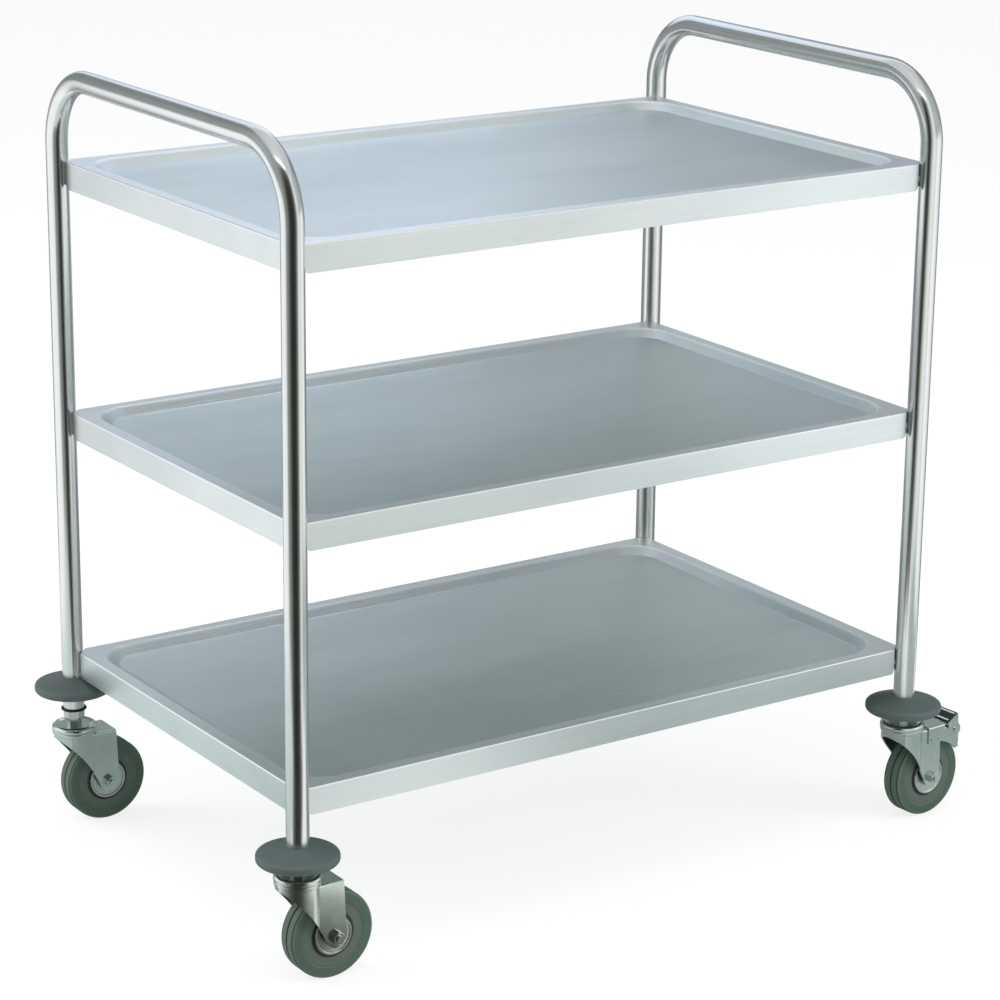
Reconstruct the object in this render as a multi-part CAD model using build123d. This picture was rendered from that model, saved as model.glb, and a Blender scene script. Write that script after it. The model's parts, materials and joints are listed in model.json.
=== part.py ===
"""Three-tier serving trolley: two bent tube end frames, three pressed trays and four swivel castors.

Millimetres. +X runs along the long side, +Y across the trolley, +Z up from the floor.
"""
import os
from math import cos, radians, sin, sqrt

from build123d import *

# Whole trolley
leg_spacing_x = 835.0
leg_spacing_y = 520.0
overall_height = 908.0

# End frame tube
tube_d = 25.0
tube_wall = 1.2
handle_bend_r = 78.0

# Trays, by the height of the lowest rim above the floor and the step from tray to tray
lowest_rim_z = 216.0
tray_step = 291.0
tray_sheet = 1.0
tray_skirt = 31.0
tray_overlap = 9.8          # how far a skirt's face lies outside the inner side of the tube
skirt_edge_r = 1.3
skirt_corner_r = 4.0        # lower corners of the skirts beside the legs
rim_width = 15.0
dish_depth = 9.0
dish_slope = 58.0           # lean of the dish wall from upright, degrees
dish_corner_r = 48.0
dish_lip_r = 3.0
dish_floor_r = 4.0
hem_width = 9.0
hem_corner_gap = 34.0

# Tray fasteners
bolt_d = 6.0
bolt_head_af = 10.0
bolt_head_h = 4.0
bolt_length = 13.0
bolt_drop = 18.0            # bolt axis below the rim
washer_d = 12.0
washer_h = 1.6
insert_d = 9.0
insert_length = 11.0
insert_bulge = 0.9
insert_bulge_length = 2.4

# Corner bumpers
bumper_d = 90.0
bumper_h = 18.5             # at the leg
bumper_edge_h = 9.0
bumper_edge_r = 3.6
bumper_recess_d = 33.0
bumper_recess_h = 6.7
lifted_bumper_gap = 0.5     # left between the lifted bumper and the tray above it

# Leg sockets and seal rings
socket_length = 32.0
socket_neck_d = 18.0
socket_hex_af = 21.4
socket_hex_h = 9.5
seal_ring_d = 30.0
seal_ring_h = 2.5
seal_ring_edge = 0.8

# Castor stem and swivel
stem_d = 12.0
stem_engagement = 26.0
stem_hex_af = 15.0
stem_hex_h = 9.5
king_pin_head_d = 19.0
king_pin_head_h = 3.5
crown_over_wheel = 18.0
cap_d = 53.0
cap_h = 6.5
cap_edge_r = 4.5
cap_recess = 1.5
cap_recess_d = 37.0
cap_sheet = 2.0
ball_d = 3.2
ball_circle_d = 41.0

# Castor fork
fork_sheet = 2.5
fork_inside = 35.0
fork_neck_d = 49.0
fork_neck_h = 8.5           # at the front of the neck, below the crown
fork_bead = 1.4
fork_bead_h = 5.0
fork_box_drop = 4.6         # box below the crown
fork_box_rear = 44.5
fork_box_edge_r = 2.4
fork_arch_r = 180.0
fork_end_r = 12.5
trail = 35.0

# Wheel
wheel_d = 100.0
tyre_width = 25.0
tyre_shoulder_r = 3.2
tyre_inner_d = 52.0
tyre_step_d = 75.0
tyre_step = 0.9
tread_groove = 1.3
hub_boss_d = 19.0
hub_boss_length = 29.0
hub_web = 6.0
hub_rim_wall = 3.0
hub_rim_width = 22.0
cover_sheet = 1.2
cover_rim = 2.2
cover_rim_h = 3.6
bush_d = 12.0

# Axle
axle_d = 8.0
axle_hex_af = 13.0
axle_head_h = 5.3
axle_nut_h = 6.5
axle_bolt_tail = 2.2

# Wheel brake
brake_pivot_angle = 57.0    # degrees above the axle's level, seen from the axle
brake_pivot_out = 14.0      # pivot outside the tread
brake_travel = 12.0         # degrees from free to locked
brake_sheet = 1.6
brake_fold_r = 2.4
brake_front_x = 24.5
brake_web_length = 26.5
brake_notch = 8.0          # depth of the plate's step between the web and the ear
brake_ear_r = 8.0
brake_arch_inset = 4.5      # plate's lower edge inside the tread
brake_claw_drop = 24.0
brake_claw_width = 9.0
brake_claw_hook = 3.5
brake_pin_d = 5.0
brake_pin_head_d = 9.0
brake_pin_head_h = 1.6
brake_rivet_d = 3.0
brake_rivet_head_d = 4.6
brake_rivet_head_h = 1.0
brake_rivet_pitch = 12.0
brake_rivet_edge = 5.0      # rivet from the plate's front edge
brake_rivet_over_edge = 3.5
pedal_length = 19.0
pedal_rise = 13.7           # pedal's plate from the pivot, square to the plate
pedal_reach = 4.4           # pedal's middle past the pivot, along the plate
pedal_tilt = 31.0
pedal_rib = 2.0
pedal_rib_h = 1.6
pedal_rib_place = 5.8       # ribs from the pedal's middle, along the plate
grip_h = 1.2
grip_edge = 1.0             # grip inside the pedal's edges
shoe_angle = 48.0           # degrees above the axle's level, seen from the axle
shoe_length = 10.0

# Fits
seat_gap = 0.2              # faces that rest on each other
fit_gap = 0.1               # fixed pieces in their holes, on the radius
running_gap = 0.05          # shafts and pins in the pieces that turn on them, on the radius
sheet_gap = 0.4             # plates that slide past each other
part_gap = 0.5              # moving castor pieces beside fixed ones

# Sizes that follow from those above
leg_x = leg_spacing_x / 2
leg_y = leg_spacing_y / 2
tube_r = tube_d / 2
handle_axis_z = overall_height - tube_r
tray_length = leg_spacing_x - tube_d + 2 * tray_overlap
tray_width = leg_spacing_y - tube_d + 2 * tray_overlap
corner_cut = sqrt(2) * (tube_r + seat_gap) - 2 * (tube_r - tray_overlap)
tray_rims = {
    "bottom_tray": lowest_rim_z,
    "middle_tray": lowest_rim_z + tray_step,
    "top_tray": lowest_rim_z + 2 * tray_step,
}
wheel_r = wheel_d / 2
crown_z = wheel_d + crown_over_wheel
cap_z = crown_z + part_gap
cap_floor_z = cap_z + cap_h - cap_recess
socket_hex_z = cap_floor_z + stem_hex_h
seal_ring_z = socket_hex_z + socket_hex_h
tube_end_z = seal_ring_z + seal_ring_h
fork_outside = fork_inside + 2 * fork_sheet
fork_box_z = crown_z - fork_box_drop
bead_r = fork_neck_d / 2 + fork_bead
brake_pivot_x = trail + (wheel_r + brake_pivot_out) * cos(radians(brake_pivot_angle))
brake_pivot_z = wheel_r + (wheel_r + brake_pivot_out) * sin(radians(brake_pivot_angle))
brake_arch_r = wheel_r - brake_arch_inset
brake_rivet_z = wheel_r + brake_arch_r + brake_rivet_over_edge
brake_rivet_x = (brake_front_x + brake_rivet_edge, brake_front_x + brake_rivet_edge + brake_rivet_pitch)
plate_inside = fork_outside / 2 + fit_gap
lever_outside = plate_inside - sheet_gap
castors = (
    ("front_left", -1, -1, 0.0, False),
    ("back_left", -1, 1, 0.0, False),
    ("front_right", 1, -1, 4.0, True),
    ("back_right", 1, 1, 0.0, True),
)
lifted_bumper = "back_left"


def turned(*points):
    """Solid turned about Z from (radius, height) corners."""
    return revolve(Plane.XZ * make_face(Polyline(*points, close=True)), Axis.Z)


def ring(outer_d, inner_d, height):
    """Flat ring standing on Z = 0."""
    return extrude(Circle(outer_d / 2) - Circle(inner_d / 2), height)


def hex_prism(across_flats, height):
    """Hexagon bar standing on Z = 0, its corners turned off at the top."""
    bar = extrude(RegularPolygon(across_flats / 2, 6, major_radius=False, rotation=30), height)
    corner_r = across_flats / sqrt(3)
    shoulder_z = height - (corner_r - across_flats / 2) / 2
    cone = turned((0, 0), (corner_r, 0), (corner_r, shoulder_z), (across_flats / 2, height), (0, height))
    return bar & cone


def side_plate(face, inside, thickness):
    """Plate cut to a face drawn in X and Z, standing from Y = inside to inside + thickness."""
    return Pos(0, inside + thickness, 0) * extrude(Plane.XZ * face, thickness)


def group(solids):
    """Separate solids kept as one node."""
    return Compound([solid for piece in solids for solid in piece.solids()])


# End frames and what holds the trays to them


def leg_places():
    """Sign pairs of the four legs."""
    return [(sign_x, sign_y) for sign_x in (-1, 1) for sign_y in (-1, 1)]


def bolt_plane(sign_x, sign_y, rim_z):
    """Plane on a leg's axis at bolt height, its normal pointing at the middle of the trolley."""
    origin = (sign_x * leg_x, sign_y * leg_y, rim_z - bolt_drop)
    return Plane(origin, x_dir=(0, 0, 1), z_dir=(-sign_x, -sign_y, 0))


def bolt_planes():
    """Every place where a tray corner is bolted to a leg."""
    return [bolt_plane(*leg, rim) for rim in tray_rims.values() for leg in leg_places()]


def end_frame(sign_x):
    """One tube bent into two legs and the handle between them."""
    x = sign_x * leg_x
    path = FilletPolyline(
        (x, -leg_y, tube_end_z),
        (x, -leg_y, handle_axis_z),
        (x, leg_y, handle_axis_z),
        (x, leg_y, tube_end_z),
        radius=handle_bend_r,
    )
    section = Pos(x, -leg_y, tube_end_z) * (Circle(tube_r) - Circle(tube_r - tube_wall))
    tube = sweep(section, path=path)
    for rim_z in tray_rims.values():
        for sign_y in (-1, 1):
            hole = extrude(Circle(insert_d / 2 + fit_gap), tube_d)
            tube -= bolt_plane(sign_x, sign_y, rim_z) * hole
    return tube


def tray_insert():
    """Threaded insert set in the tube wall, its skirt swelled behind the wall."""
    bore = bolt_d / 2 + fit_gap
    outer = insert_d / 2
    swelled = outer + insert_bulge
    mouth = tube_r - seat_gap
    wall = sqrt((tube_r - tube_wall) ** 2 - swelled**2) - seat_gap
    return turned(
        (bore, mouth - insert_length),
        (outer, mouth - insert_length),
        (outer, wall - insert_bulge_length - insert_bulge),
        (swelled, wall - insert_bulge_length),
        (swelled, wall),
        (outer, wall),
        (outer, mouth),
        (bore, mouth),
    )


def tray_washer():
    """Washer behind a tray's corner face."""
    seat = tube_r + seat_gap + tray_sheet
    return Pos(0, 0, seat) * ring(washer_d, bolt_d + 2 * fit_gap, washer_h)


def tray_bolt():
    """Hexagon bolt from inside the tray's corner into the insert."""
    head_seat = tube_r + seat_gap + tray_sheet + washer_h
    shank = Pos(0, 0, head_seat - bolt_length) * Cylinder(
        bolt_d / 2, bolt_length, align=(Align.CENTER, Align.CENTER, Align.MIN)
    )
    return shank + Pos(0, 0, head_seat) * hex_prism(bolt_head_af, bolt_head_h)


# Trays


def corner_relief(sign_x, sign_y, rim_z):
    """What is cut away below a corner face, so that the skirts beside it end in rounded corners."""
    middle_x = sign_x * (tray_length - corner_cut) / 2
    middle_y = sign_y * (tray_width - corner_cut) / 2
    plane = Plane((middle_x, middle_y, rim_z - tray_skirt), x_dir=(0, 0, 1), z_dir=(-sign_x, -sign_y, 0))
    reach = corner_cut / sqrt(2) + skirt_corner_r
    section = Rectangle(2 * skirt_corner_r, 2 * reach)
    for side in (-1, 1):
        section -= Pos(skirt_corner_r, side * reach) * Circle(skirt_corner_r)
    return plane * extrude(section, 2 * skirt_corner_r, both=True)


def tray(rim_z):
    """Pressed sheet tray: skirt, rim, dished floor, folded hem and bolt holes in its cut corners."""
    outline = Rectangle(tray_length, tray_width)
    outline = chamfer(outline.vertices(), corner_cut)
    form = Pos(0, 0, rim_z - tray_skirt) * extrude(outline, tray_skirt)
    dish = RectangleRounded(tray_length - 2 * rim_width, tray_width - 2 * rim_width, dish_corner_r)
    form -= extrude(Pos(0, 0, rim_z) * dish, -dish_depth, taper=dish_slope)
    level = form.faces().filter_by(Axis.Z).sort_by(Axis.Z)
    form = fillet(level[1].outer_wire().edges(), dish_floor_r)
    level = form.faces().filter_by(Axis.Z).sort_by(Axis.Z)
    form = fillet(level[-1].inner_wires()[0].edges(), dish_lip_r)
    level = form.faces().filter_by(Axis.Z).sort_by(Axis.Z)
    form = fillet(level[-1].outer_wire().edges(), skirt_edge_r)
    level = form.faces().filter_by(Axis.Z).sort_by(Axis.Z)
    sheet = offset(form, amount=-tray_sheet, openings=[level[0]])
    foot_z = rim_z - tray_skirt + tray_sheet / 2
    for sign in (-1, 1):
        long_hem = Box(tray_length - 2 * hem_corner_gap, hem_width, tray_sheet)
        sheet += Pos(0, sign * (tray_width - hem_width) / 2, foot_z) * long_hem
        short_hem = Box(hem_width, tray_width - 2 * hem_corner_gap, tray_sheet)
        sheet += Pos(sign * (tray_length - hem_width) / 2, 0, foot_z) * short_hem
    for leg in leg_places():
        hole = extrude(Circle(bolt_d / 2 + 3 * fit_gap), tube_d)
        sheet -= bolt_plane(*leg, rim_z) * hole
        sheet -= corner_relief(*leg, rim_z)
    return sheet


# Bumpers, sockets and seal rings at the foot of each leg


def bumper():
    """Soft disc that slopes up to its leg, hollow below for the seal ring; Z = 0 is its underside."""
    disc = turned(
        (tube_r + fit_gap, 0),
        (bumper_d / 2, 0),
        (bumper_d / 2, bumper_edge_h),
        (tube_r + fit_gap, bumper_h),
    )
    rounded = [edge for edge in disc.edges().filter_by(GeomType.CIRCLE) if edge.radius > tube_d]
    disc = fillet(rounded, bumper_edge_r)
    return disc - extrude(Circle(bumper_recess_d / 2), bumper_recess_h)


def bumper_z(name):
    """Height of a bumper's underside: on the seal ring, or slid up against the lowest tray."""
    if name == lifted_bumper:
        return lowest_rim_z - tray_skirt - lifted_bumper_gap - bumper_h
    return tube_end_z + seat_gap - bumper_recess_h


def leg_socket():
    """Threaded plug in the tube's end, with a hexagon below the seal ring."""
    bore = stem_d / 2 + fit_gap
    plug = tube_r - tube_wall - fit_gap
    neck = socket_neck_d / 2
    body = turned(
        (bore, seal_ring_z),
        (neck, seal_ring_z),
        (neck, tube_end_z),
        (plug, tube_end_z),
        (plug, tube_end_z + socket_length),
        (bore, tube_end_z + socket_length),
    )
    hexagon = hex_prism(socket_hex_af, socket_hex_h) - extrude(Circle(bore), socket_hex_h)
    return body + Pos(0, 0, seal_ring_z) * Rot(180, 0, 0) * hexagon


def seal_ring():
    """Ring gripped between the tube's end and the socket's hexagon."""
    flat = ring(seal_ring_d, socket_neck_d + 2 * fit_gap, seal_ring_h)
    outer_edges = flat.edges().filter_by(GeomType.CIRCLE).group_by(SortBy.RADIUS)[-1]
    return Pos(0, 0, seal_ring_z) * chamfer(outer_edges, seal_ring_edge)


# Castor, drawn about its stem with the wheel trailing along +X


def castor_stem():
    """Stem screwed into the socket, its hexagon and the king pin riveted below the fork."""
    radius = stem_d / 2
    head_z = crown_z - fork_sheet - part_gap
    pin = turned(
        (0, head_z - king_pin_head_h),
        (king_pin_head_d / 2 - king_pin_head_h / 2, head_z - king_pin_head_h),
        (king_pin_head_d / 2, head_z - king_pin_head_h / 2),
        (king_pin_head_d / 2, head_z),
        (radius, head_z),
        (radius, tube_end_z + stem_engagement),
        (0, tube_end_z + stem_engagement),
    )
    return pin + Pos(0, 0, cap_floor_z) * hex_prism(stem_hex_af, stem_hex_h)


def swivel_cap():
    """Pressed upper race with a rolled edge and a sunk floor, fixed to the stem above the balls."""
    hole = stem_d / 2 + fit_gap
    floor_r = cap_recess_d / 2
    outer = cap_d / 2
    crest = outer - cap_edge_r
    top = cap_z + cap_h
    edge_z = top - cap_edge_r
    inner = outer - cap_sheet
    outline = [
        Line((hole, cap_floor_z - cap_sheet), (hole, cap_floor_z)),
        Line((hole, cap_floor_z), (floor_r, cap_floor_z)),
        Line((floor_r, cap_floor_z), (crest, top)),
        TangentArc((crest, top), (outer, edge_z), tangent=(1, 0)),
        Line((outer, edge_z), (outer, cap_z)),
        Line((outer, cap_z), (inner, cap_z)),
        Line((inner, cap_z), (inner, edge_z)),
        TangentArc((crest, top - cap_sheet), (inner, edge_z), tangent=(1, 0)),
        Line((crest, top - cap_sheet), (floor_r, cap_floor_z - cap_sheet)),
        Line((floor_r, cap_floor_z - cap_sheet), (hole, cap_floor_z - cap_sheet)),
    ]
    return revolve(Plane.XZ * make_face(outline), Axis.Z)


def ball_ring():
    """Ring of balls that the cap turns on, as one ring with eight sides to its section."""
    section = Plane.XZ * Pos(ball_circle_d / 2, crown_z + running_gap + ball_d / 2)
    return revolve(section * RegularPolygon(ball_d / 2, 8, major_radius=False, rotation=22.5), Axis.Z)


def fork_arch():
    """Circle that cuts the legs' front edge, from the front of the neck to a smooth end at the axle."""
    foot = Vector(-fork_neck_d / 2, crown_z - fork_neck_h)
    span = Vector(trail, wheel_r) - foot
    to_axle = fork_arch_r + fork_end_r
    along = (fork_arch_r**2 - to_axle**2 + span.length**2) / (2 * span.length)
    below = sqrt(fork_arch_r**2 - along**2)
    direction = span.normalized()
    centre = foot + direction * along + Vector(direction.Y, -direction.X) * below
    return Pos(centre.X, centre.Y) * Circle(fork_arch_r)


def fork_side():
    """Side view of the fork in X and Z: neck, box and the arched legs that narrow to the axle."""
    axle_end = Pos(trail, wheel_r) * Circle(fork_end_r)
    front = Line((-bead_r, crown_z - fork_neck_h), (-bead_r, crown_z))
    top = Line((-bead_r, crown_z), (bead_r, crown_z))
    rear = Line((bead_r, crown_z), (fork_box_rear, fork_box_z))
    return make_hull(axle_end.edges() + [front, top, rear]) - fork_arch()


def fork_box(width, height):
    """Bar of the fork's box, from the neck back past the wheel."""
    length = trail + wheel_d
    return Box(length, width, height, align=(Align.MIN, Align.CENTER, Align.MIN))


def fork(braked):
    """Pressed fork: round neck under the cap, box behind it and two legs down to the axle."""
    box = fork_box(fork_outside, fork_box_z)
    box = fillet(box.edges().filter_by(Axis.X).group_by(Axis.Z)[-1], fork_box_edge_r)
    form = box + extrude(Circle(fork_neck_d / 2), crown_z)
    form &= extrude(Plane.XZ * fork_side(), fork_neck_d, both=True)
    bead = ring(2 * bead_r, fork_inside, fork_bead_h)
    bead = fillet(bead.edges().filter_by(GeomType.CIRCLE).group_by(SortBy.RADIUS)[-1], fork_bead * 0.9)
    form += Pos(0, 0, crown_z - fork_bead_h) * bead
    form -= fork_box(fork_inside, fork_box_z - fork_sheet)
    form -= extrude(Circle(fork_neck_d / 2 - fork_sheet), crown_z - fork_sheet)
    form -= extrude(Circle(stem_d / 2 + running_gap), crown_z)
    form -= axle_place() * extrude(Circle(axle_d / 2 + fit_gap), fork_outside, both=True)
    if braked:
        for rivet_x in brake_rivet_x:
            hole = Plane.XZ * Pos(rivet_x, brake_rivet_z) * Circle(brake_rivet_d / 2 + fit_gap)
            form -= extrude(hole, fork_outside, both=True)
    return form


def axle_place():
    """Plane at the wheel's middle, its normal along the axle towards +Y."""
    return Plane((trail, 0, wheel_r), x_dir=(1, 0, 0), z_dir=(0, 1, 0))


def axle_bush():
    """Sleeve clamped between the fork legs, on which the wheel turns."""
    length = fork_inside - 2 * fit_gap
    return axle_place() * Pos(0, 0, -length / 2) * ring(bush_d, axle_d + 2 * fit_gap, length)


def axle_bolt():
    """Axle bolt, its head outside the +Y leg and its tail past the nut."""
    half = fork_outside / 2
    tail = half + axle_nut_h + axle_bolt_tail
    shank = Pos(0, 0, -tail) * extrude(Circle(axle_d / 2), tail + half)
    return axle_place() * (shank + Pos(0, 0, half) * hex_prism(axle_hex_af, axle_head_h))


def axle_nut():
    """Nut outside the -Y leg."""
    nut = hex_prism(axle_hex_af, axle_nut_h) - extrude(Circle(axle_d / 2 + fit_gap), axle_nut_h)
    return axle_place() * Rot(180, 0, 0) * Pos(0, 0, fork_outside / 2) * nut


def wheel_hub():
    """Moulded wheel centre: boss on the bush, web and rim under the tyre."""
    bore = bush_d / 2 + running_gap
    boss = hub_boss_d / 2
    rim = tyre_inner_d / 2
    rim_inside = rim - hub_rim_wall
    return axle_place() * turned(
        (bore, -hub_boss_length / 2),
        (boss, -hub_boss_length / 2),
        (boss, -hub_web / 2),
        (rim_inside, -hub_web / 2),
        (rim_inside, -hub_rim_width / 2),
        (rim, -hub_rim_width / 2),
        (rim, hub_rim_width / 2),
        (rim_inside, hub_rim_width / 2),
        (rim_inside, hub_web / 2),
        (boss, hub_web / 2),
        (boss, hub_boss_length / 2),
        (bore, hub_boss_length / 2),
    )


def hub_covers():
    """Pressed disc on each end of the hub's boss, with a rolled rim."""
    hole = hub_boss_d / 2 + fit_gap
    outer = tyre_inner_d / 2 - hub_rim_wall - fit_gap
    rim = outer - cover_rim
    face = hub_boss_length / 2 - cover_sheet
    cover = turned(
        (hole, face - cover_sheet),
        (rim, face - cover_sheet),
        (rim, face + cover_sheet - cover_rim_h),
        (outer, face + cover_sheet - cover_rim_h),
        (outer, face),
        (outer - cover_sheet / 2, face + cover_sheet),
        (rim, face + cover_sheet),
        (rim - cover_sheet, face),
        (hole, face),
    )
    return group([axle_place() * cover, axle_place() * Rot(180, 0, 0) * cover])


def tyre():
    """Solid tyre with rounded shoulders, a stepped side wall and a groove round the tread."""
    inner = tyre_inner_d / 2 + fit_gap
    step_r = tyre_step_d / 2
    half = tyre_width / 2
    low = half - tyre_step
    ring_solid = turned(
        (inner, -low),
        (step_r, -low),
        (step_r + tyre_step, -half),
        (wheel_r, -half),
        (wheel_r, half),
        (step_r + tyre_step, half),
        (step_r, low),
        (inner, low),
    )
    circles = ring_solid.edges().filter_by(GeomType.CIRCLE)
    shoulders = [edge for edge in circles if edge.radius > wheel_r - fit_gap]
    ring_solid = fillet(shoulders, tyre_shoulder_r)
    groove = turned(
        (wheel_r - tread_groove, 0),
        (wheel_r + tread_groove, -2 * tread_groove),
        (wheel_r + tread_groove, 2 * tread_groove),
    )
    return axle_place() * (ring_solid - groove)


# Wheel brake, drawn with the castor


def brake_pivot():
    """Place of the brake's pivot in a side view drawn in X and Z."""
    return Pos(brake_pivot_x, brake_pivot_z)


def pivot_hole(gap):
    """Drill for the brake pin."""
    hole = Plane.XZ * brake_pivot() * Circle(brake_pin_d / 2 + gap)
    return extrude(hole, fork_outside, both=True)


def brake_plate_face():
    """Side view of the brake bracket: front edge, ear for the pivot, claw and arched lower edge."""
    ear = brake_pivot() * Circle(brake_ear_r)
    web_top = fork_box_z + seat_gap + brake_sheet
    web_rear = brake_front_x + brake_web_length
    lower_edge = brake_rivet_z - brake_rivet_over_edge
    claw_rear = brake_pivot_x + brake_claw_width / 2
    claw_z = brake_pivot_z - brake_claw_drop
    body = make_face(Polyline(
        (brake_front_x, lower_edge),
        (brake_front_x, web_top),
        (web_rear, web_top),
        (web_rear, web_top - brake_notch),
        (brake_pivot_x, brake_pivot_z + brake_ear_r),
        (claw_rear, brake_pivot_z),
        (claw_rear, claw_z + brake_claw_hook),
        (claw_rear + brake_claw_hook, claw_z),
        (claw_rear, claw_z + brake_claw_hook / 2),
        (claw_rear - brake_claw_hook, claw_z),
        (claw_rear - brake_claw_width, claw_z),
        (trail, wheel_r),
        close=True,
    ))
    face = body + ear - Pos(trail, wheel_r) * Circle(brake_arch_r)
    for rivet_x in brake_rivet_x:
        face -= Pos(rivet_x, brake_rivet_z) * Circle(brake_rivet_d / 2 + fit_gap)
    return face


def brake_bracket():
    """Folded bracket: a web over the fork's box and a plate riveted to each leg."""
    plate = side_plate(brake_plate_face(), plate_inside, brake_sheet) - pivot_hole(fit_gap)
    outside = plate_inside + brake_sheet
    web_z = fork_box_z + seat_gap
    web = Box(brake_web_length, 2 * outside, brake_sheet, align=(Align.MIN, Align.CENTER, Align.MIN))
    bracket = plate + mirror(plate, Plane.XZ) + Pos(brake_front_x, 0, web_z) * web
    folds = [
        edge
        for edge in bracket.edges().filter_by(Axis.X)
        if abs(edge.center().Z - web_z - brake_sheet) < fit_gap and abs(edge.center().Y) > plate_inside
    ]
    bracket = fillet(folds, brake_fold_r)
    return bracket - extrude(Circle(bead_r + fit_gap), crown_z)


def brake_rivets():
    """Two rivets through each side of the bracket and the fork leg behind it."""
    shank = fork_inside / 2
    head = plate_inside + brake_sheet
    rivet = turned(
        (0, shank),
        (brake_rivet_d / 2, shank),
        (brake_rivet_d / 2, head),
        (brake_rivet_head_d / 2, head),
        (brake_rivet_head_d / 2 - brake_rivet_head_h / 2, head + brake_rivet_head_h),
        (0, head + brake_rivet_head_h),
    )
    solids = []
    for rivet_x in brake_rivet_x:
        side = Plane((rivet_x, 0, brake_rivet_z), x_dir=(1, 0, 0), z_dir=(0, 1, 0))
        solids.append(side * rivet)
        solids.append(side * Rot(180, 0, 0) * rivet)
    return group(solids)


def brake_pin():
    """Headed pin through both sides of the bracket, on which the pedal turns."""
    head = plate_inside + brake_sheet
    pin = turned(
        (0, -head - brake_pin_head_h),
        (brake_pin_head_d / 2 - brake_pin_head_h / 2, -head - brake_pin_head_h),
        (brake_pin_head_d / 2, -head),
        (brake_pin_d / 2, -head),
        (brake_pin_d / 2, head),
        (brake_pin_head_d / 2, head),
        (brake_pin_head_d / 2 - brake_pin_head_h / 2, head + brake_pin_head_h),
        (0, head + brake_pin_head_h),
    )
    return Plane((brake_pivot_x, 0, brake_pivot_z), x_dir=(1, 0, 0), z_dir=(0, 1, 0)) * pin


def pedal_section(length, thickness, along=0, over=0):
    """Section of the pedal's plate in X and Z, or of what stands on it, as the lever stands when free."""
    section = Pos(pedal_reach + along, pedal_rise + over) * Rectangle(length, thickness)
    return brake_pivot() * Rot(0, 0, pedal_tilt) * section


def pedal_ribs(gap):
    """The two ribs across the pedal, larger on each side by a gap."""
    half = lever_outside - 2 * grip_edge + gap
    ribs = []
    for sign in (-1, 1):
        height = brake_sheet + pedal_rib_h
        section = pedal_section(pedal_rib + 2 * gap, height, sign * pedal_rib_place, pedal_rib_h / 2)
        ribs.append(extrude(Plane.XZ * section, half, both=True))
    return ribs


def shoe_section():
    """Section of the flat shoe in X and Z: it meets the tread when locked, and stands clear when free."""
    section = Pos(wheel_r + sheet_gap + brake_sheet / 2, 0) * Rectangle(brake_sheet, shoe_length)
    locked = Pos(trail, wheel_r) * Rot(0, 0, shoe_angle) * section
    return brake_pivot() * Rot(0, 0, brake_travel) * brake_pivot().inverse() * locked


def brake_pedal():
    """Folded lever: ribbed pedal on top, a cheek on each side of the wheel and the shoe between them."""
    pedal = pedal_section(pedal_length, brake_sheet)
    shoe = shoe_section()
    eye = brake_pivot() * Circle(brake_pin_d)
    cheek_face = make_hull(eye.edges() + pedal.edges() + shoe.edges())
    cheek = side_plate(cheek_face, lever_outside - brake_sheet, brake_sheet)
    lever = cheek + mirror(cheek, Plane.XZ)
    for section in (pedal, shoe):
        lever += extrude(Plane.XZ * section, lever_outside, both=True)
    for rib in pedal_ribs(0):
        lever += rib
    return lever - pivot_hole(running_gap)


def pedal_grip():
    """Soft tread on the pedal, slotted for its ribs."""
    over = brake_sheet / 2 + seat_gap + grip_h / 2
    section = pedal_section(pedal_length - 2 * grip_edge, grip_h, over=over)
    grip = extrude(Plane.XZ * section, lever_outside - grip_edge, both=True)
    for rib in pedal_ribs(fit_gap):
        grip -= rib
    return grip


# The trolley, every node where it stands


def frame_nodes():
    """Nodes that stay with the end frames."""
    places = [Pos(x * leg_x, y * leg_y, 0) for _, x, y, _, _ in castors]
    nodes = {
        "left_end_frame": end_frame(-1),
        "right_end_frame": end_frame(1),
        "tray_bolts": group([plane * tray_bolt() for plane in bolt_planes()]),
        "tray_washers": group([plane * tray_washer() for plane in bolt_planes()]),
        "tray_inserts": group([plane * tray_insert() for plane in bolt_planes()]),
        "leg_sockets": group([place * leg_socket() for place in places]),
        "seal_rings": group([place * seal_ring() for place in places]),
        "castor_stems": group([place * castor_stem() for place in places]),
        "swivel_caps": group([place * swivel_cap() for place in places]),
    }
    for name, rim_z in tray_rims.items():
        nodes[name] = tray(rim_z)
    for name, x, y, _, _ in castors:
        nodes[f"{name}_bumper"] = Pos(x * leg_x, y * leg_y, bumper_z(name)) * bumper()
    return nodes


def castor_nodes(name, sign_x, sign_y, turn, braked):
    """Nodes of one castor, turned about its stem."""
    place = Pos(sign_x * leg_x, sign_y * leg_y, 0) * Rot(0, 0, turn)
    pieces = {
        "fork": fork(braked),
        "ball_ring": ball_ring(),
        "axle_bush": axle_bush(),
        "axle_bolt": axle_bolt(),
        "axle_nut": axle_nut(),
        "wheel_hub": wheel_hub(),
        "hub_covers": hub_covers(),
        "tyre": tyre(),
    }
    if braked:
        pieces["brake_bracket"] = brake_bracket()
        pieces["brake_rivets"] = brake_rivets()
        pieces["brake_pin"] = brake_pin()
        pieces["brake_pedal"] = brake_pedal()
        pieces["pedal_grip"] = pedal_grip()
    return {f"{name}_{piece}": place * shape for piece, shape in pieces.items()}


def trolley():
    """All nodes, moved so that the origin is the middle of the footprint, on the floor."""
    nodes = frame_nodes()
    for castor in castors:
        nodes.update(castor_nodes(*castor))
    box = Compound(list(nodes.values())).bounding_box()
    middle = Pos(-box.center().X, -box.center().Y, -box.min.Z)
    return {name: middle * shape for name, shape in nodes.items()}


os.makedirs("parts", exist_ok=True)
for node, solid in trolley().items():
    export_step(solid, f"parts/{node}.step")
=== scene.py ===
"""Serving trolley: finishes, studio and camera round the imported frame. Metres."""

import json
import math

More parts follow.
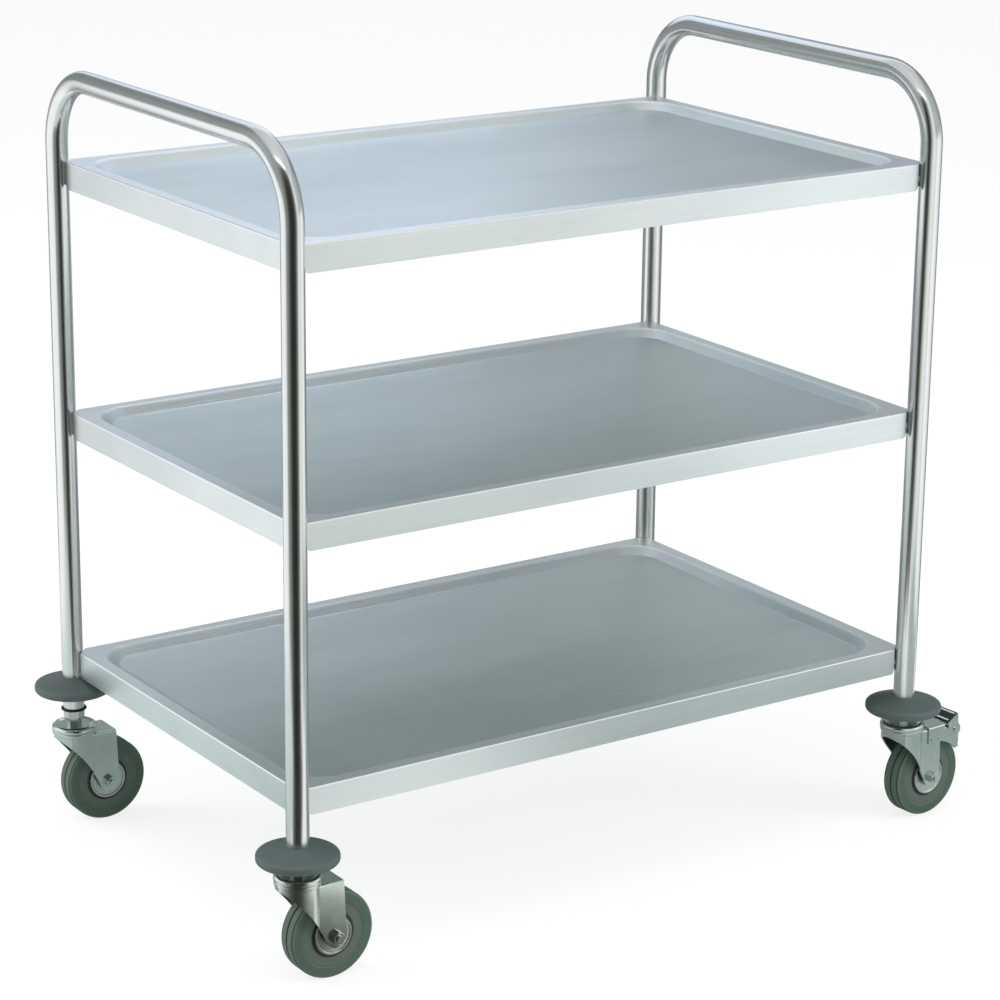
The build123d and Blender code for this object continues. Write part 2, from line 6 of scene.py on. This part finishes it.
import bpy
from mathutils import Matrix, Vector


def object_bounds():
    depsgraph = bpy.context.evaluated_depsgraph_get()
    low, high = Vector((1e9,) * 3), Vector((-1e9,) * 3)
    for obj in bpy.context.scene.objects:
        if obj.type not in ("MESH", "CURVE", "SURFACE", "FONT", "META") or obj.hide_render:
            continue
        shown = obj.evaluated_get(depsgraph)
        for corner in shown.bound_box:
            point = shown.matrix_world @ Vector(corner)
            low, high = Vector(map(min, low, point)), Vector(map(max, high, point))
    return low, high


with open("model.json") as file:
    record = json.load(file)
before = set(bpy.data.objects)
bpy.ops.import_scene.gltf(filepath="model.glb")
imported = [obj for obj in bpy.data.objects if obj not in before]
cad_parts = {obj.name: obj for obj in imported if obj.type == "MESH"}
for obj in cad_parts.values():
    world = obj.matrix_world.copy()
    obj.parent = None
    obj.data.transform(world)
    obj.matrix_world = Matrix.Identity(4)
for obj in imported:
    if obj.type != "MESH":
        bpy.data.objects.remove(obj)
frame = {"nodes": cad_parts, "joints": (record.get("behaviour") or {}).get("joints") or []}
cad_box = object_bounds()
nodes = frame["nodes"]
joints = {joint["name"]: joint for joint in frame["joints"]}
bpy.context.scene.view_settings.view_transform = "Standard"

TRAYS = ("top_tray", "middle_tray", "bottom_tray")
CASTORS = ("front_left", "back_left", "front_right", "back_right")
BRAKED = ("front_right", "back_right")

# Draw lines in the tube and brush lines in the sheet
LINE_LENGTH = 0.12
LINE_WIDTH = 0.0012

# Depth below a tray's top at which the painted highlight on its rim starts and is full
RIM_HIGHLIGHT_STARTS = 0.0028
RIM_HIGHLIGHT_FULL = 0.0008

# Distances from a bumper's middle between which it turns paler towards its edge
BUMPER_PALE_EDGE = (0.036, 0.045)

# Tyre: radii of the tread and of the pale ring, and its dark lines from the middle of its width
TREAD_STARTS = 0.0462
TREAD_FULL = 0.0480
INNER_WALL = (0.0350, 0.0374)
PALE_RING = 0.0378
SHOULDER_LINE = 0.0102

# Turned rings of a hub cover, in radians a metre
COVER_RINGS = 2600.0

# Camera: place, angles in degrees, and focal length in millimetres
CAMERA_PLACE = (-1.99329, -2.92473, 1.48062)
CAMERA_ANGLES = (72.963, -0.612, -33.955)
CAMERA_LENS = 114.31

# Cloths and cards round the set, on axes turned with the camera. A row gives places, in metres to the
# camera's right or away from it, and how bright metal sees the card there. BACK_SHADE_BANDS goes by height.
SET_TURN = math.radians(-34.0)
CARD_TOP = 2.2
COOL = (0.89, 1.0, 0.98)
BLUE = (0.88, 0.99, 1.17)
PLAIN = (1.0, 1.0, 1.01)
OLIVE = (1.0, 1.03, 0.93)
FRONT_CLOTH = (
    (-1.2, 0.45), (-0.85, 0.28), (-0.7, 0.26), (-0.55, 0.16), (-0.45, 0.08), (-0.3, 0.03), (0.0, 0.03),
    (0.2, 0.10), (0.35, 0.32), (0.5, 0.58), (0.65, 0.80), (0.8, 0.95), (1.2, 1.0),
)
RIGHT_CARD = (
    (-1.05, 1.1), (-0.65, 0.78), (-0.35, 1.2), (0.0, 1.05), (0.3, 0.85), (0.45, 0.50), (0.6, 0.28),
    (1.25, 0.25),
)
RIGHT_CARD_HIGH = ((-1.05, 0.50), (0.3, 0.42), (1.25, 0.25))
RIGHT_SEAM = (0.78, 0.98)
LEFT_CARD = (
    (-1.05, 0.55), (-0.96, 0.85), (-0.85, 1.0), (-0.5, 1.1), (0.2, 1.15), (0.3, 0.95), (0.45, 0.50),
    (0.8, 0.30),
)
LEFT_CARD_HIGH = ((-1.05, 0.35), (-0.3, 0.36), (0.0, 0.30), (0.5, 0.25), (1.8, 0.30))
LEFT_SEAM = (0.84, 1.06)
BACK_CLOTH = ((0.1, 0.44), (0.3, 0.54), (0.6, 0.44), (1.2, 0.26))
# The back cloth's dark bands by height are painted shade, standing for the shade of the trays above as the
# tray floors show it.
BACK_SHADE_BANDS = (
    (0.0, 0.30), (0.4, 0.30), (0.46, 0.50), (0.57, 0.50), (0.63, 0.26), (0.70, 0.24), (0.75, 0.55),
    (0.87, 0.55), (0.93, 0.25), (1.0, 0.23),
)
BANDS_END = (0.0, 0.2)
BACK_CLOTH_HIGH = (
    (-0.9, 0.85), (-0.3, 1.05), (0.0, 1.2), (0.08, 0.94), (0.15, 0.68), (0.25, 0.44), (0.5, 0.34),
    (1.2, 0.25),
)
BACK_SEAM = (1.04, 1.2)
FLAT_CLOTHS = {
    "front_mat": ((-0.575, 0.30), (-0.4, 0.10), (-0.3, 0.04), (0.0, 0.04), (0.2, 0.12), (0.375, 0.40)),
    "near_mat": ((-0.475, 0.30), (-0.35, 0.10), (-0.25, 0.05), (-0.12, 0.08), (0.025, 0.50)),
    "right_mat": ((0.55, 0.65), (0.75, 0.50), (1.25, 0.40)),
    "left_mat": ((-1.25, 0.95), (-0.8, 0.78), (-0.55, 0.65)),
    "back_mat": ((-0.9, 0.25), (0.0, 0.30), (1.2, 0.25)),
    "overhead_cloth": ((-1.4, 0.62), (0.0, 0.72), (1.4, 0.62)),
    # The cloth under the trolley is a painted shadow of the trolley on the floor, seen only in metal.
    "under_painted_shadow": ((-0.65, 0.45), (0.0, 0.30), (0.65, 0.40)),
}


class Wire:
    """The output of a node. Sums and products with it add Math nodes."""

    def __init__(self, finish, socket):
        self.finish = finish
        self.socket = socket

    def maths(self, operation, *values):
        return self.finish.node("ShaderNodeMath", {"operation": operation}, dict(enumerate(values)))

    def __add__(self, other):
        return self.maths("ADD", self, other)

    def __radd__(self, other):
        return self.maths("ADD", other, self)

    def __sub__(self, other):
        return self.maths("SUBTRACT", self, other)

    def __rsub__(self, other):
        return self.maths("SUBTRACT", other, self)

    def __mul__(self, other):
        return self.maths("MULTIPLY", self, other)

    def __rmul__(self, other):
        return self.maths("MULTIPLY", other, self)

    def __truediv__(self, other):
        return self.maths("DIVIDE", self, other)

    def __pow__(self, other):
        return self.maths("POWER", self, other)

    def __abs__(self):
        return self.maths("ABSOLUTE", self)

    def sine(self):
        return self.maths("SINE", self)

    def larger(self, other):
        return self.maths("MAXIMUM", self, other)


class Finish:
    """The nodes of one material, or of the world."""

    def __init__(self, owner, **constants):
        self.owner = owner
        owner.use_nodes = True
        self.tree = owner.node_tree
        self.surface = self.tree.nodes.get("Principled BSDF")
        for name, value in constants.items():
            self.surface.inputs[name.replace("_", " ")].default_value = value

    def node(self, kind, settings, sockets, output=0):
        made = self.tree.nodes.new(kind)
        for key, value in settings.items():
            if key == "stops":
                self.lay_stops(made.color_ramp, value)
            else:
                setattr(made, key, value)
        for key, value in sockets.items():
            self.feed(made.inputs[key], value)
        return Wire(self, made.outputs[output])

    def lay_stops(self, ramp, stops):
        while len(ramp.elements) < len(stops):
            ramp.elements.new(1.0)
        for element, (position, shade) in zip(ramp.elements, stops):
            element.position = position
            element.color = (*shade, 1.0)

    def feed(self, socket, value):
        if isinstance(value, Wire):
            self.tree.links.new(value.socket, socket)
        else:
            socket.default_value = value

    def set(self, name, value):
        self.feed(self.surface.inputs[name], value)

    def cover(self, shader):
        """Takes a shader in place of the material's own."""
        self.feed(self.tree.nodes["Material Output"].inputs["Surface"], shader)

    def place(self, centre=(0, 0, 0), turn=0.0, cell=(1, 1, 1)):
        """Object coordinates counted from a centre, turned about Z, in cells."""
        spot = self.node("ShaderNodeTexCoord", {}, {}, "Object")
        sockets = {"Vector": spot, "Location": centre, "Rotation": (0, 0, turn), "Scale": cell}
        return self.node("ShaderNodeMapping", {"vector_type": "TEXTURE"}, sockets)

    def noise(self, cell, detail=3.0, roughness=0.5):
        """Noise in cells of one size, or of a size for each axis."""
        spot = self.place(cell=cell if isinstance(cell, tuple) else (cell,) * 3)
        sockets = {"Vector": spot, "Scale": 1.0, "Detail": detail, "Roughness": roughness}
        return self.node("ShaderNodeTexNoise", {}, sockets)

    def axes(self, spot):
        return [self.node("ShaderNodeSeparateXYZ", {}, {0: spot}, axis) for axis in range(3)]

    def ramp(self, value, stops):
        """A number spread over colours."""
        return self.node("ShaderNodeValToRGB", {"stops": stops}, {0: value})

    def span(self, value, low, high, to_low=0.0, to_high=1.0):
        """A soft step from one number to another."""
        sockets = {"Value": value, "From Min": low, "From Max": high, "To Min": to_low, "To Max": to_high}
        return self.node("ShaderNodeMapRange", {"interpolation_type": "SMOOTHSTEP"}, sockets)

    def mix(self, amount, first, second):
        """Two colours mixed."""
        pair = {0: amount, 6: first, 7: second}
        return self.node("ShaderNodeMix", {"data_type": "RGBA"}, pair, 2)

    def bump(self, height, strength, distance):
        return self.node("ShaderNodeBump", {}, {"Strength": strength, "Distance": distance, "Height": height})


def new_finish(name, **constants):
    return Finish(bpy.data.materials.new(name), **constants)


def dress(finish, *names):
    """Puts a finish on CAD nodes."""
    for name in names:
        nodes[name].data.materials.clear()
        nodes[name].data.materials.append(finish.owner)


def colour(red, green, blue):
    return (red, green, blue, 1.0)


# Finishes


def satin_tube():
    """Polished tube, with fine draw lines along the legs."""
    finish = new_finish("satin_tube", Metallic=1.0)
    lines = finish.noise((LINE_WIDTH, LINE_WIDTH, LINE_LENGTH), 2.0)
    cloud = finish.noise(0.05, 4.0)
    finish.set("Base Color", finish.mix(cloud, colour(0.70, 0.735, 0.73), colour(0.79, 0.815, 0.81)))
    finish.set("Roughness", 0.13 + 0.07 * cloud + 0.05 * lines)
    finish.set("Normal", finish.bump(lines, 0.04, 0.0002))
    return finish


def brushed_sheet(tray):
    """Sheet brushed along its long side, and along the short sides of the skirts. The rim is painted paler as
    a painted highlight.
    """
    finish = new_finish(tray + "_sheet", Metallic=1.0)
    top = max(corner[2] for corner in nodes[tray].bound_box)
    rim = finish.span(finish.axes(finish.place())[2], top - RIM_HIGHLIGHT_STARTS, top - RIM_HIGHLIGHT_FULL)
    normal = finish.node("ShaderNodeNewGeometry", {}, {}, "Normal")
    east, _, up = finish.axes(normal)
    end_face = finish.span(abs(east), 0.75, 0.9)
    level = finish.span(abs(up), 0.6, 0.9, 0.12, 1.0)
    along = finish.noise((LINE_LENGTH, LINE_WIDTH, LINE_WIDTH))
    across = finish.noise((LINE_WIDTH, LINE_LENGTH, LINE_WIDTH))
    lines = along + end_face * (across - along)
    cloud = finish.noise((0.22, 0.09, 0.09), 4.0)
    grain = finish.noise((0.004, LINE_WIDTH, LINE_WIDTH), 4.0, 0.7)
    tint = finish.span(0.5 * cloud + 0.3 * lines + 0.2 * grain, 0.3, 0.7)
    base = finish.mix(tint, colour(0.64, 0.70, 0.70), colour(0.74, 0.79, 0.79))
    # Painted highlight: the rim is mixed to a pale colour.
    finish.set("Base Color", finish.mix(rim, base, colour(0.88, 0.91, 0.93)))
    finish.set("Roughness", 0.28 + 0.06 * lines + 0.06 * cloud)
    finish.set("Normal", finish.bump(level * lines, 1.0, 0.0005))
    return finish


def bright_zinc(name, rough):
    """Plated pressed steel: cloudy, with a faint green and straw tint."""
    finish = new_finish(name, Metallic=1.0)
    cloud = finish.noise(0.02, 4.0)
    spots = finish.noise(0.0025)
    finish.set("Base Color", finish.mix(cloud, colour(0.50, 0.59, 0.56), colour(0.67, 0.735, 0.69)))
    finish.set("Roughness", rough - 0.06 + 0.12 * cloud + 0.08 * spots)
    finish.set("Normal", finish.bump(spots, 0.05, 0.0003))
    return finish


def bumper_rubber(name, centre):
    """Soft grey disc, paler towards its edge."""
    finish = new_finish(name, Specular_IOR_Level=0.4)
    east, north, _ = finish.axes(finish.place(centre))
    radius = (east * east + north * north) ** 0.5
    grain = finish.noise(0.0014)
    cloud = finish.noise(0.03)
    tone = 0.6 * cloud + 0.4 * finish.span(radius, *BUMPER_PALE_EDGE)
    finish.set("Base Color", finish.mix(tone, colour(0.078, 0.110, 0.106), colour(0.122, 0.162, 0.155)))
    finish.set("Roughness", 0.42 + 0.16 * cloud + 0.06 * grain)
    finish.set("Normal", finish.bump(grain, 0.12, 0.0003))
    return finish


def tyre_rubber(name, centre, turn):
    """Grey tyre, counted from its axle: tread painted paler as a painted highlight, painted shade in its
    middle groove, dark lines at its shoulders, a pale ring on the side wall.
    """
    finish = new_finish(name, Specular_IOR_Level=0.4)
    ahead, aside, up = finish.axes(finish.place(centre, turn))
    radius = (ahead * ahead + up * up) ** 0.5
    grain = finish.noise(0.0012)
    cloud = finish.noise(0.018, 4.0)
    tread = finish.span(radius, TREAD_STARTS, TREAD_FULL)
    inner = 1 - finish.span(radius, *INNER_WALL)
    ring = 1 - finish.span(abs(radius - PALE_RING), 0.0002, 0.0008)
    groove = 1 - finish.span(abs(aside), 0.0009, 0.0016)
    shoulder = 1 - finish.span(abs(abs(aside) - SHOULDER_LINE), 0.0004, 0.0011)
    base = finish.mix(cloud, colour(0.064, 0.114, 0.078), colour(0.108, 0.174, 0.122))
    base = finish.mix(0.45 * inner, base, colour(0.165, 0.190, 0.176))
    base = finish.mix(0.45 * ring, base, colour(0.210, 0.250, 0.225))
    # Painted highlight: the tread is mixed paler for the light that falls on it.
    base = finish.mix(0.65 * tread, base, colour(0.145, 0.205, 0.150))
    # Painted shade in the middle groove; the shoulder lines are darkened in the same mix.
    base = finish.mix(0.85 * (tread * (groove + shoulder)), base, colour(0.020, 0.032, 0.024))
    finish.set("Base Color", base)
    finish.set("Roughness", 0.45 + 0.14 * cloud + 0.16 * tread)
    finish.set("Normal", finish.bump(grain, 0.16, 0.0003))
    return finish


def hub_cover_zinc(name, centre, turn):
    """Pressed cover with turned rings round the axle."""
    finish = new_finish(name, Metallic=1.0)
    ahead, _, up = finish.axes(finish.place(centre, turn))
    radius = (ahead * ahead + up * up) ** 0.5
    rings = (radius * COVER_RINGS).sine()
    cloud = finish.noise(0.012)
    finish.set("Base Color", finish.mix(cloud, colour(0.50, 0.55, 0.54), colour(0.62, 0.64, 0.61)))
    finish.set("Roughness", 0.2 + 0.12 * cloud)
    finish.set("Normal", finish.bump(rings, 0.25, 0.0002))
    return finish


def dark_plastic():
    """Moulded hub."""
    finish = new_finish("dark_plastic")
    grain = finish.noise(0.0015)
    finish.set("Base Color", finish.mix(grain, colour(0.022, 0.026, 0.024), colour(0.040, 0.045, 0.042)))
    finish.set("Roughness", 0.42 + 0.15 * grain)
    finish.set("Normal", finish.bump(grain, 0.1, 0.0002))
    return finish


def seal_rubber():
    """Black rubber of the rings under the tubes; the same black on the dark strips of the brake pedals."""
    finish = new_finish("seal_rubber")
    grain = finish.noise(0.001)
    finish.set("Base Color", finish.mix(grain, colour(0.010, 0.011, 0.011), colour(0.025, 0.027, 0.026)))
    finish.set("Roughness", 0.5 + 0.15 * grain)
    finish.set("Normal", finish.bump(grain, 0.15, 0.0002))
    return finish


def dress_frame():
    """Tubes, trays, and what joins them to each other and to the castors."""
    dress(satin_tube(), "left_end_frame", "right_end_frame")
    for tray in TRAYS:
        dress(brushed_sheet(tray), tray)
    bolt_steel = bright_zinc("bolt_steel", 0.24)
    dress(bolt_steel, "tray_bolts", "tray_washers", "tray_inserts", "leg_sockets", "castor_stems")
    dress(bright_zinc("cap_zinc", 0.14), "swivel_caps")


def dress_castors():
    """Bumpers, castors and brakes, and the seal rings above them."""
    rubber = seal_rubber()
    zinc = bright_zinc("fork_zinc", 0.13)
    polished = bright_zinc("axle_steel", 0.16)
    plastic = dark_plastic()
    dress(rubber, "seal_rings")
    for castor in CASTORS:
        swivel = joints[castor + "_swivel"]["pos_m"]
        axle = joints[castor + "_roll"]
        turn = math.atan2(-axle["axis"][0], axle["axis"][1])
        dress(bumper_rubber(castor + "_bumper_rubber", swivel), castor + "_bumper")
        dress(tyre_rubber(castor + "_tyre_rubber", axle["pos_m"], turn), castor + "_tyre")
        dress(hub_cover_zinc(castor + "_hub_cover_zinc", axle["pos_m"], turn), castor + "_hub_covers")
        dress(plastic, castor + "_wheel_hub")
        dress(zinc, castor + "_fork")
        for piece in ("ball_ring", "axle_bush", "axle_bolt", "axle_nut"):
            dress(polished, castor + "_" + piece)
    for castor in BRAKED:
        dress(zinc, castor + "_brake_bracket", castor + "_brake_pedal")
        dress(rubber, castor + "_pedal_grip")
        dress(polished, castor + "_brake_rivets", castor + "_brake_pin")


# Studio


def seen(finish):
    """1 for what the camera sees, straight, in metal or through glass."""
    straight = finish.node("ShaderNodeLightPath", {}, {}, "Is Camera Ray")
    glossy = finish.node("ShaderNodeLightPath", {}, {}, "Is Glossy Ray")
    through = finish.node("ShaderNodeLightPath", {}, {}, "Is Transmission Ray")
    return straight.larger(glossy).larger(through)


def pale_floor():
    """White floor that keeps a soft shadow."""
    bpy.ops.mesh.primitive_plane_add(size=60.0, location=(0, 0, cad_box[0].z))
    floor = bpy.context.object
    floor.name = "floor"
    finish = new_finish("pale_floor")
    bounce = finish.node("ShaderNodeBsdfDiffuse", {}, {"Color": colour(0.8, 0.8, 0.8)})
    shade = finish.node("ShaderNodeBsdfDiffuse", {}, {"Color": colour(0.3, 0.3, 0.3)})
    glow = finish.node("ShaderNodeEmission", {}, {"Color": colour(1, 1, 1), "Strength": 0.8})
    white = finish.node("ShaderNodeAddShader", {}, {0: shade, 1: glow})
    finish.cover(finish.node("ShaderNodeMixShader", {}, {0: seen(finish), 1: bounce, 2: white}))
    floor.data.materials.append(finish.owner)


def white_room():
    """Even light from all round, and the white that metal shows."""
    world = bpy.data.worlds.new("white_room")
    bpy.context.scene.world = world
    finish = Finish(world)
    back = finish.tree.nodes["Background"]
    finish.feed(back.inputs["Color"], colour(0.98, 0.99, 1.0))
    finish.feed(back.inputs["Strength"], 0.5 + 0.5 * seen(finish))


def tones(finish, value, stops, hue):
    """Brightness along a line of metres, in one hue."""
    first, last = stops[0][0], stops[-1][0]
    laid = [((at - first) / (last - first), tuple(level * part for part in hue)) for at, level in stops]
    return finish.ramp((value - first) / (last - first), laid)


def card(name, middle, length, height, paint, turn=0.0, flat=False):
    """A lit plane that only metal shows, standing on the floor or lying flat with soft edges."""
    right, away, up = middle
    bpy.ops.mesh.primitive_plane_add(size=1.0)
    plane = bpy.context.object
    plane.name = name
    plane.scale = (length, height, 1.0)
    plane.rotation_euler = (0.0 if flat else math.pi / 2, 0.0, SET_TURN + turn)
    cosine, sine = math.cos(SET_TURN), math.sin(SET_TURN)
    plane.location = (right * cosine - away * sine, right * sine + away * cosine, up)
    finish = new_finish(name)
    along, rise, _ = finish.axes(finish.place())
    shade = paint(finish, along * length + (away if turn else right), rise * height + up)
    clear = finish.node("ShaderNodeBsdfTransparent", {}, {})
    lit = finish.node("ShaderNodeEmission", {}, {"Color": shade})
    edge = finish.span(abs(rise), 0.38, 0.5) if flat else finish.span(rise, 0.46, 0.5)
    finish.cover(finish.node("ShaderNodeMixShader", {}, {0: edge, 1: lit, 2: clear}))
    plane.data.materials.append(finish.owner)
    for ray in ("camera", "diffuse", "transmission", "shadow", "volume_scatter"):
        setattr(plane, "visible_" + ray, False)


def flat_cloth(name, right, away, depth, hue, up=0.002):
    """A cloth laid flat, as long as its tones."""
    stops = FLAT_CLOTHS[name]

    def paint(finish, along, _):
        return tones(finish, along, stops, hue)

    card(name, (right, away, up), stops[-1][0] - stops[0][0], depth, paint, flat=True)


def paint_front(finish, along, _):
    return tones(finish, along, FRONT_CLOTH, OLIVE)


def paint_right(finish, along, rise):
    low = tones(finish, along, RIGHT_CARD, PLAIN)
    high = tones(finish, along, RIGHT_CARD_HIGH, COOL)
    return finish.mix(finish.span(rise, *RIGHT_SEAM), low, high)


def paint_left(finish, along, rise):
    low = tones(finish, along, LEFT_CARD, PLAIN)
    high = tones(finish, along, LEFT_CARD_HIGH, COOL)
    return finish.mix(finish.span(rise, *LEFT_SEAM), low, high)


def paint_back(finish, along, rise):
    # Painted shade: dark bands by height on the back cloth.
    shade_bands = tones(finish, rise, BACK_SHADE_BANDS, COOL)
    plain = tones(finish, along, BACK_CLOTH, COOL)
    low = finish.mix(finish.span(along, *BANDS_END), shade_bands, plain)
    high = tones(finish, along, BACK_CLOTH_HIGH, BLUE)
    return finish.mix(finish.span(rise, *BACK_SEAM), low, high)


def surround():
    """Cloths and cards round the set, out of view."""
    side = math.pi / 2
    half = CARD_TOP / 2
    card("front_cloth", (0.0, -1.05, half), 2.4, CARD_TOP, paint_front)
    card("right_card", (1.2, 0.1, half), 2.3, CARD_TOP, paint_right, side)
    card("left_card", (-1.2, 0.375, half), 2.85, CARD_TOP, paint_left, side)
    card("back_cloth", (0.15, 1.25, 1.0), 2.1, 2.0, paint_back)
    flat_cloth("front_mat", -0.1, -0.96, 0.48, OLIVE)
    flat_cloth("near_mat", -0.225, -0.62, 0.34, OLIVE, 0.004)
    flat_cloth("right_mat", 0.9, -0.35, 1.3, COOL, 0.003)
    flat_cloth("left_mat", -0.9, -0.3, 1.5, COOL, 0.003)
    flat_cloth("back_mat", 0.15, 0.8, 0.9, COOL, 0.003)
    # Painted shadow: a dark cloth under the trolley, seen only in metal.
    flat_cloth("under_painted_shadow", 0.0, 0.0, 0.9, COOL)
    flat_cloth("overhead_cloth", 0.0, 0.1, 2.6, PLAIN, 2.5)


def softbox(name, place, width, height, power):
    """A soft box that shines on the middle of the trolley."""
    lamp = bpy.data.lights.new(name, "AREA")
    lamp.shape = "RECTANGLE"
    lamp.size = width
    lamp.size_y = height
    lamp.energy = power
    box = bpy.data.objects.new(name, lamp)
    bpy.context.scene.collection.objects.link(box)
    box.location = place
    aim = (cad_box[0] + cad_box[1]) / 2
    box.rotation_euler = (aim - box.location).to_track_quat("-Z", "Y").to_euler()
    box.visible_camera = False


def studio_camera():
    lens = bpy.data.cameras.new("camera")
    lens.lens = CAMERA_LENS
    lens.sensor_width = 36.0
    camera = bpy.data.objects.new("camera", lens)
    bpy.context.scene.collection.objects.link(camera)
    camera.location = CAMERA_PLACE
    camera.rotation_euler = [math.radians(angle) for angle in CAMERA_ANGLES]
    bpy.context.scene.camera = camera


dress_frame()
dress_castors()
pale_floor()
white_room()
surround()
softbox("left_softbox", (-3.0, 2.2, 2.6), 2.4, 2.4, 60.0)
softbox("right_softbox", (2.4, -3.0, 2.4), 1.6, 2.4, 50.0)
softbox("top_softbox", (-0.6, -0.6, 3.6), 2.0, 2.0, 30.0)
studio_camera()
